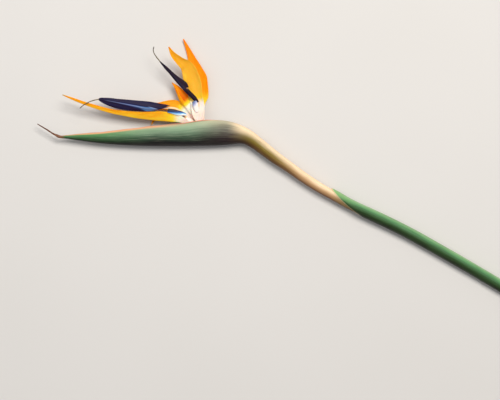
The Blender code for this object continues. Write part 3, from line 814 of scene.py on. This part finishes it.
def blade(rows, section, thickness, seed, ripple, bluntness):
    """A thin blade that grows along its middle line, with slightly rippled edges."""
    line = Line(rows)

    def point(distance, size, turn):
        centre, across, up, (half_width, facing, bend) = line.station(distance)
        around, through = sheet(turn, BLADE_SQUARENESS)
        free = sin(pi * held(distance / line.length)) ** 0.7
        half_width *= 1.0 + 0.05 * free * wobble(distance * 0.11, seed + around * 2.0)
        middle, outward = section(around, half_width * size, bend)
        wave = wobble(distance * 0.08, around * 1.2, seed) + 0.5 * wobble(distance * 0.21, around * 3.0, seed)
        vein = -VEIN_DEPTH * exp(-(around / VEIN_WIDTH) ** 2)
        lift = free * ripple * abs(around) ** 1.5 * wave * min(1.0, half_width / 4.0)
        place = middle + outward * (lift + vein * free + through * thickness / 2.0 * size)
        side, rise = Matrix.Rotation(radians(facing + 90.0), 2) @ place
        return centre + across * side + up * rise, (around, through, distance)

    return grow(line.length, rounded(0.0, line.length, BLADE_STATIONS, bluntness), BLADE_COLUMNS, point)


def sepal_paint(name, white_end, yellow_end, rim_depth_and_shade, light, deep, inside_tone_and_shade, tip):
    """White at the foot, through yellow to orange, with darker veins and tip, and a deeper rim and inside
    that are partly painted shade.
    """
    paint = Paint(name + "_orange", Specular_IOR_Level=0.07, Subsurface_Weight=0.4, Subsurface_Scale=0.003)
    around, through, _, along = paint.grain()
    vein = paint.noise(17.0, 0.1, 0.012, 4.0, 0.6)
    fine = paint.noise(60.0, 0.1, 0.03, 2.0)
    cloud = paint.noise(1.6, 0.4, 0.045)
    # The rim is deeper orange, partly its own tone and partly painted shade.
    depth = cloud.rise(0.35, 0.65, 0.0, 1.0 - rim_depth_and_shade) + abs(around).rise(0.25, 0.9, 0.0, rim_depth_and_shade)
    orange = depth.mix(light, deep)
    orange = vein.rise(0.42, 0.72, 0.0, 0.6).mix(orange, deep)
    orange = fine.rise(0.52, 0.8, 0.0, 0.35).mix(orange, light)
    # The inside face takes its own tint, which is painted shade where it is darker: red-orange in the fold of
    # flower 2's keeled sepal.
    inside = through.fall(-0.3, 0.2) * along.fall(0.7, 0.84)
    orange = (inside * 0.8).mix(orange, inside_tone_and_shade)
    orange = along.rise(0.5, 0.9, 0.0, 0.6).mix(orange, deep)
    place = along + (vein - 0.5) * 0.06 + (cloud - 0.5) * 0.03
    yellow = vein.mix((255, 222, 60), (255, 200, 24))
    colour = place.rise(white_end, yellow_end).mix(yellow, orange)
    x, height, _ = paint.split(paint.place())
    second = x.rise(-58.0, -44.0)
    white = second.mix((250, 244, 226), cloud.mix((240, 231, 220), (236, 222, 210)))
    colour = place.fall(white_end - 0.05, white_end + 0.02).mix(colour, white)
    pink = (height - second * 9.0).fall(8.0, 17.0, 0.6) * along.fall(white_end * 0.5, white_end)
    colour = pink.mix(colour, (248, 196, 178))
    edge = abs(around).rise(0.9, 1.0, 0.0, 0.35) * place.rise(white_end, yellow_end)
    colour = edge.mix(colour, (238, 140, 30))
    dry = (along + (vein - 0.5) * 0.04).rise(0.955, 0.995, 0.0, 0.75)
    colour = dry.mix(colour, tip)
    return paint.finish(colour, vein * 0.2 + 0.42, vein * 0.8 + fine * 0.4, 0.12)


# The shares of each sepal's length where its white and its yellow end, how much deeper its rim is, partly
# as painted shade, its two oranges, its inside, which is painted shade where it is darker, and its tip.
SEPAL_TINTS = {
    "flower_1_keeled_sepal": (
        0.12, 0.24, 0.6, (255, 201, 50), (250, 150, 10), (232, 120, 10), (176, 142, 40)
    ),
    "flower_2_keeled_sepal": (0.4, 0.53, 0.0, (252, 168, 16), (244, 132, 4), (206, 88, 0), (200, 134, 30)),
    "flower_1_rear_sepal": (0.23, 0.3, 0.0, (255, 190, 50), (248, 148, 26), (250, 160, 30), (220, 150, 50)),
    "flower_1_hooked_sepal": (0.2, 0.34, 0.0, (250, 176, 50), (232, 148, 30), (232, 150, 34), (176, 110, 40)),
    "flower_2_front_sepal": (0.25, 0.35, 0.0, (255, 206, 84), (254, 166, 22), (254, 192, 58), (236, 140, 16)),
    "flower_2_rear_sepal": (0.2, 0.36, 0.0, (255, 166, 14), (248, 128, 0), (250, 144, 4), (226, 130, 16)),
}
for seed, (sepal_name, sepal_rows) in enumerate((KEELED_SEPALS | OPEN_SEPALS).items()):
    section = trough if sepal_name in OPEN_SEPALS else fold
    if sepal_name == "flower_2_keeled_sepal":
        section = lopsided_fold
    sepal_skin = blade(sepal_rows, section, SEPAL_THICKNESS, seed * 11.0, SEPAL_RIPPLE, SEPAL_BLUNTNESS)
    settle(sepal_name, sepal_skin, sepal_paint(sepal_name, *SEPAL_TINTS[sepal_name]))


# Each arrow is two blue petals joined along their edges into a rib that hides the stamens. It has a round
# claw, a long blade on either side of the rib, and a barb that points back to the claw.

# x, y, z of the rib and its radius, how far the upper blade reaches, how far its edge is lifted and how
# far back it lies, and how far the lower blade reaches and its edge is lifted.
ARROW_ROWS = {
    "flower_1_arrow": (
        (-49.6, 14.2, 9.8, 1.0, 3.0, -0.9, 7.6, 1.0, 0.0),
        (-56.0, 21.0, 12.0, 1.05, 3.0, -0.9, 7.6, 1.05, 0.0),
        (-61.0, 23.9, 12.8, 1.1, 2.0, 0.9, 8.8, 1.1, 0.0),
        (-66.5, 24.7, 13.0, 1.1, 2.0, 0.9, 8.8, 1.1, 0.0),
        (-71.0, 24.8, 13.2, 1.1, 2.0, 0.9, 8.8, 1.1, 0.0),
        (-74.2, 24.6, 13.5, 1.15, 2.0, 0.9, 8.8, 1.15, 0.0),
        (-76.3, 24.5, 13.7, 1.2, 2.9, 0.2, 6.6, 1.25, -0.05),
        (-78.0, 24.35, 13.85, 1.25, 3.9, -0.6, 4.2, 1.4, -0.1),
        (-80.0, 24.25, 14.0, 1.3, 5.1, -1.2, 2.0, 1.7, -0.3),
        (-82.0, 24.2, 14.15, 1.35, 5.8, -1.5, 0.6, 2.1, -0.4),
        (-90.0, 24.8, 14.8, 1.45, 6.3, -1.5, 0.0, 3.5, -0.8),
        (-99.0, 26.4, 15.6, 1.5, 5.4, -1.3, 0.0, 4.8, -1.2),
        (-108.0, 28.1, 16.5, 1.4, 4.5, -1.0, 0.0, 5.6, -1.4),
        (-116.0, 29.6, 17.4, 1.25, 3.6, -0.8, 0.0, 5.7, -1.3),
        (-123.0, 31.0, 18.2, 1.05, 3.0, -0.5, 0.0, 4.8, -0.9),
        (-129.0, 32.0, 19.1, 0.85, 2.2, -0.2, 0.0, 3.2, -0.5),
        (-132.3, 32.5, 19.6, 0.7, 1.6, 0.0, 0.0, 1.9, -0.1),
        (-133.9, 32.6, 19.8, 0.5, 0.8, 0.0, 0.0, 0.9, 0.0),
    ),
    "flower_2_arrow": (
        (-39.4, 25.6, 11.0, 1.1, 3.6, -0.6, 2.1, 1.2, 0.0),
        (-40.4, 29.9, 12.9, 1.2, 3.6, -0.6, 2.1, 1.5, 0.0),
        (-42.3, 32.7, 13.8, 1.4, 3.6, -0.6, 2.1, 2.0, 0.0),
        (-45.3, 35.9, 14.4, 1.5, 3.6, -0.6, 2.1, 2.2, 0.0),
        (-48.4, 38.9, 15.0, 1.5, 3.6, -0.6, 2.1, 2.2, 0.0),
        (-50.4, 41.0, 15.4, 1.5, 3.6, -0.6, 2.1, 2.3, -0.1),
        (-52.4, 43.2, 15.9, 1.5, 3.6, -0.6, 2.1, 2.1, -0.2),
        (-54.0, 44.9, 16.3, 1.45, 4.9, -0.8, 0.9, 2.0, -0.3),
        (-55.8, 46.8, 16.8, 1.4, 4.7, -0.8, 0.0, 2.0, -0.4),
        (-61.0, 52.8, 18.2, 1.3, 2.7, -0.5, 0.0, 2.1, -0.5),
        (-65.4, 57.8, 19.6, 1.15, 1.7, -0.2, 0.0, 1.8, -0.3),
        (-69.6, 62.2, 20.9, 0.95, 1.4, -0.1, 0.0, 1.7, -0.2),
        (-72.9, 65.5, 21.8, 0.8, 0.9, 0.0, 0.0, 1.1, 0.0),
        (-75.8, 68.4, 22.7, 0.5, 0.5, 0.0, 0.0, 0.5, 0.0),
    ),
}
ARROW_COLUMNS = 104
ARROW_STATIONS = 190
ARROW_BLADE = 0.3
ARROW_SQUARENESS = 2.0
ARROW_WAVE = 0.25
BARB_STEP = 0.01


def arrow_paint(name, barb, rib_sheen, claw_end, claw_slant, dark, light):
    """Near-black navy, with a painted highlight along a crease and painted sheen on a blue facet along the
    rib, a claw that is pale at first, and painted shade under the barb.
    """
    paint = Paint(name + "_petal", Specular_IOR_Level=0.11)
    across, _, distance, along = paint.grain()
    vein = paint.noise(2.4, 0.2, 0.02, 4.0, 0.6)
    fine = paint.noise(9.0, 0.2, 0.06, 2.0)
    cloud = paint.noise(0.4, 0.4, 0.08)
    colour = vein.mix(dark, light)
    colour = cloud.rise(0.4, 0.65, 0.0, 0.6).mix(colour, (36, 12, 34))
    # A blue facet of painted sheen along the rib widens towards the barb, with a painted highlight along a
    # crease through it and a short one above.
    low = along.rise(0.46, 0.56, -3.4, -1.6) + along.rise(0.56, 0.95, 0.0, 1.3)
    top = along.rise(0.36, 0.43, -1.0, 0.6)
    sheen_facet = (across - low).rise(-0.4, 0.7) * (across - top).fall(-0.3, 0.4)
    sheen_facet = sheen_facet * along.rise(0.33, 0.37) * along.fall(0.5, 0.96)
    blue = along.rise(0.42, 0.7).mix((98, 150, 198), (52, 66, 128))
    colour = (sheen_facet * rib_sheen).mix(colour, vein.mix((34, 60, 120), blue))
    sunk = along.rise(0.44, 0.6, 1.0, 0.15)
    crease_highlight = abs(across + sunk).fall(0.1, 0.7) * along.rise(0.36, 0.44)
    crease_highlight = crease_highlight * along.rise(0.55, 0.92, 1.0, 0.3) * along.fall(0.88, 0.96)
    short_highlight = abs(across - 0.45 + (0.426 - along) * 23.0)
    short_highlight = short_highlight.fall(0.1, 0.6) * along.rise(0.35, 0.39)
    # Both lines are a painted highlight.
    line = crease_highlight + short_highlight * along.fall(0.43, 0.48)
    colour = (line * rib_sheen * 0.7).mix(colour, (134, 148, 184))
    blade_share = across.rise(1.2, 1.6, 0.0, 0.1)
    lean = across.rise(-1.1, 0.9, 0.0, claw_slant)
    claw = (along + blade_share + lean).fall(claw_end * 0.88, claw_end)
    colour = claw.mix(colour, vein.mix((255, 226, 180), (240, 190, 140)))
    # Painted shade: brownish on the pale claw under the swept-back barb.
    under_barb_shade = distance.rise(barb - 3.0, barb - 1.6) * distance.fall(barb - 0.5, barb) * across.rise(0.7, 1.5)
    colour = (under_barb_shade * 0.7).mix(colour, (190, 140, 110))
    colour = fine.rise(0.6, 0.85, 0.0, 0.15).mix(colour, (96, 92, 132))
    return paint.finish(colour, vein * 0.2 + 0.42, vein * 0.7 + fine * 0.3, 0.1)


def make_arrow(name, rows, barb_x, *traits):
    """A rib with a thin blade to either side. The upper blade starts at the barb."""
    line = Line(rows)
    barb = line.distance_at_x(barb_x)

    def point(distance, size, turn):
        centre, across, up, values = line.station(distance)
        around, through = sheet(turn, ARROW_SQUARENESS)
        radius = values[0]
        reach, lift, back = values[1:4] if around > 0.0 and distance > barb else (*values[4:], 0.0)
        out = max(reach, radius) * abs(around)
        rib = radius * sqrt(max(0.0, 1.0 - (out / radius) ** 2))
        thin = ARROW_BLADE * sqrt(max(0.0, 1.0 - around**6))
        half = (rib**3 + thin**3) ** (1.0 / 3.0) * copysign(1.0, through)
        wave = ARROW_WAVE * wobble(distance * 0.12, around * 2.0, 3.0) * held(reach - radius)
        rise = (lift + wave) * abs(around) ** 1.6 + half
        forward = up.cross(across)
        place = centre + (across * copysign(out, around) + up * rise) * size
        return place - forward * back * abs(around) ** 1.2, (copysign(out, around), through, distance)

    stations = rounded(0.0, line.length, ARROW_STATIONS, 0.4)
    stations += [(barb - BARB_STEP, 1.0), (barb + BARB_STEP, 1.0)]
    skin = grow(line.length, sorted(stations), ARROW_COLUMNS, point)
    settle(name, skin, arrow_paint(name, barb, *traits))


# Where on the rib, by its x, each arrow's barb is cut in, how strong the painted sheen and highlight along
# its rib are, the share of it that is pale claw, how much less of it is pale above, and its darkest and
# lightest tones.
ARROW_TRAITS = {
    "flower_1_arrow": (-74.2, 1.0, 0.33, 0.075, (12, 10, 22), (38, 34, 76)),
    "flower_2_arrow": (-52.4, 0.05, 0.09, 0.0, (14, 6, 12), (36, 26, 46)),
}
for arrow_name, arrow_rows in ARROW_ROWS.items():
    make_arrow(arrow_name, arrow_rows, *ARROW_TRAITS[arrow_name])


# The third petal of each flower is short and blunt. It lies over the claw of the arrow, white at its
# foot and blue at its end.

# The columns are those of the open sepals.
SMALL_PETALS = {
    "flower_1_small_petal": (
        (-50.6, 18.0, 13.1, 0.9, 88, 30),
        (-53.0, 18.9, 14.4, 1.5, 90, 32),
        (-56.4, 19.4, 15.6, 2.3, 92, 34),
        (-60.0, 20.1, 16.4, 2.4, 94, 34),
        (-64.6, 21.2, 17.1, 2.1, 96, 32),
        (-68.6, 22.1, 17.5, 2.0, 96, 28),
    ),
    "flower_2_small_petal": (
        (-40.4, 20.6, 13.4, 1.6, 90, 30),
        (-41.6, 24.8, 15.0, 2.4, 94, 32),
        (-42.5, 28.0, 16.2, 2.6, 99, 32),
        (-43.6, 31.0, 17.0, 2.1, 104, 30),
    ),
}
PETAL_THICKNESS = 0.7
PETAL_RIPPLE = 0.2
PETAL_BLUNTNESS = 0.7


def petal_paint(name, lean, steep, middle, tints):
    """White at the foot and along one edge, then through blue to a dark end."""
    paint = Paint(name + "_blue", Specular_IOR_Level=0.3, Subsurface_Weight=0.1, Subsurface_Scale=0.001)
    around, _, _, along = paint.grain()
    vein = paint.noise(6.0, 0.2, 0.05)
    cloud = paint.noise(1.5, 0.5, 0.2)
    place = around * lean + (middle - along) * steep + 0.5 + (cloud - 0.5) * 0.14 + (vein - 0.5) * 0.14
    stops = [(position, *tone) for position, tone in zip((0.2, 0.4, 0.54, 0.68, 0.85), tints)]
    return paint.finish(place.ramp(*stops), vein * 0.2 + 0.34, vein, 0.1)


# How far the colours lean across each petal and change along it, the share of its length where they
# are halfway, and the colours from its end to its foot.
PETAL_TINTS = {
    "flower_1_small_petal": (
        0.36, 0.56, 0.55, ((14, 14, 32), (16, 38, 96), (54, 124, 192), (160, 212, 242), (255, 252, 246))
    ),
    "flower_2_small_petal": (
        -0.16, 1.1, 0.76, ((70, 100, 132), (138, 146, 190), (192, 194, 222), (240, 236, 236), (246, 240, 230))
    ),
}
for seed, (petal_name, petal_rows) in enumerate(SMALL_PETALS.items()):
    petal_skin = blade(petal_rows, trough, PETAL_THICKNESS, 90.0 + seed * 7.0, PETAL_RIPPLE, PETAL_BLUNTNESS)
    petal_blue = petal_paint(petal_name, *PETAL_TINTS[petal_name])
    settle(petal_name, petal_skin, petal_blue)


# A thread comes out of each arrow's tip, thin, sticky and olive-brown. It is the end of the style, which
# grows up through the arrow.

# x, y, z of the middle and the radius.
THREAD_ROWS = {
    "flower_1_style": (
        (-133.6, 32.6, 19.8, 0.5),
        (-139.2, 31.4, 20.8, 0.5),
        (-144.4, 29.2, 21.6, 0.45),
        (-148.4, 26.7, 22.2, 0.45),
        (-151.6, 23.9, 22.6, 0.4),
    ),
    "flower_2_style": (
        (-75.6, 68.3, 22.7, 0.5),
        (-79.0, 72.6, 24.2, 0.5),
        (-81.4, 76.6, 25.4, 0.45),
        (-81.9, 79.6, 26.0, 0.45),
        (-81.2, 82.2, 26.4, 0.4),
    ),
}
THREAD_SIDES = 20
THREAD_STATIONS = 60
THREAD_ROUNDING = 0.4


def thread_paint():
    """Olive-brown, darker towards its end, with pale grains of pollen."""
    paint = Paint("thread", Specular_IOR_Level=0.5)
    *_, along = paint.grain()
    grain = paint.noise(1.5, 1.5, 1.6, 2.0)
    colour = along.mix((98, 84, 40), (44, 32, 22))
    colour = grain.rise(0.5, 0.7, 0.0, 0.6).mix(colour, (140, 118, 70))
    return paint.finish(colour, grain * 0.3 + 0.35, grain, 0.1)


def thread_radius(radius, angle, distance):
    """A little lumpy."""
    return radius * (0.92 + 0.16 * wobble(cos(angle), sin(angle), distance * 0.5))


olive_thread = thread_paint()
for thread_name, thread_rows in THREAD_ROWS.items():
    thread_skin = tube(thread_rows, THREAD_STATIONS, THREAD_SIDES, THREAD_ROUNDING, thread_radius)
    settle(thread_name, thread_skin, olive_thread)


# The floor is a plain pale surface under the whole flower. The key light stands above and to the
# upper right, and a large dim one fills the shadows. The camera looks straight down.

FLOOR_SIZE = 6.0
FLOOR_DROP = 0.0003
PHOTO_SIZE = (500, 400)
PIXEL = 0.95 * MM
NECK_PIXEL = (240, 134)
CAMERA_HEIGHT = 3.0
FLOWER_HEIGHT = 0.009
SENSOR = 36.0
SKY_COLOUR = (0.94, 0.95, 1.0, 1.0)
SKY_STRENGTH = 0.3


def floor_paint():
    """A matt, hardly uneven surface."""
    paint = Paint("pale_floor", Specular_IOR_Level=0.2)
    cloud = paint.noise(0.004, 0.004, 1.0, 2.0, on=paint.place())
    colour = cloud.mix((202, 199, 194), (208, 205, 201))
    return paint.finish(colour, cloud * 0.05 + 0.75, cloud, 0.1)


floor_mesh = bmesh.new()
bmesh.ops.create_grid(floor_mesh, x_segments=1, y_segments=1, size=FLOOR_SIZE / 2.0)
bmesh.ops.translate(floor_mesh, verts=floor_mesh.verts, vec=(0.0, 0.0, -FLOOR_DROP))
floor_data = bpy.data.meshes.new("floor")
floor_mesh.to_mesh(floor_data)
floor_mesh.free()
floor_data.materials.append(floor_paint())
floor = bpy.data.objects.new("floor", floor_data)
bpy.context.collection.objects.link(floor)


def lamp(name, place, size, power, colour):
    """A square soft light that faces the flower."""
    data = bpy.data.lights.new(name, "AREA")
    data.shape = "SQUARE"
    data.size = size
    data.energy = power
    data.color = colour
    light = bpy.data.objects.new(name, data)
    light.location = place
    light.rotation_euler = (-Vector(place)).to_track_quat("-Z", "Y").to_euler()
    bpy.context.collection.objects.link(light)


lamp("key", (0.3, 0.75, 1.8), 0.8, 38.0, (1.0, 0.97, 0.93))
lamp("fill", (-0.9, 0.5, 1.6), 1.6, 10.0, (0.97, 0.98, 1.0))

world = bpy.data.worlds.new("studio")
world.use_nodes = True
sky = world.node_tree.nodes["Background"]
sky.inputs["Color"].default_value = SKY_COLOUR
sky.inputs["Strength"].default_value = SKY_STRENGTH
bpy.context.scene.world = world
bpy.context.scene.view_settings.view_transform = "Standard"

camera_data = bpy.data.cameras.new("camera")
camera_data.sensor_width = SENSOR
camera_data.lens = SENSOR * (CAMERA_HEIGHT - FLOWER_HEIGHT) / (PHOTO_SIZE[0] * PIXEL)
camera_data.clip_end = 20.0
camera = bpy.data.objects.new("camera", camera_data)
camera.location = NECK + Vector((
    (PHOTO_SIZE[0] / 2.0 - NECK_PIXEL[0]) * PIXEL,
    (NECK_PIXEL[1] - PHOTO_SIZE[1] / 2.0) * PIXEL,
    CAMERA_HEIGHT,
))
bpy.context.collection.objects.link(camera)
bpy.context.scene.camera = camera
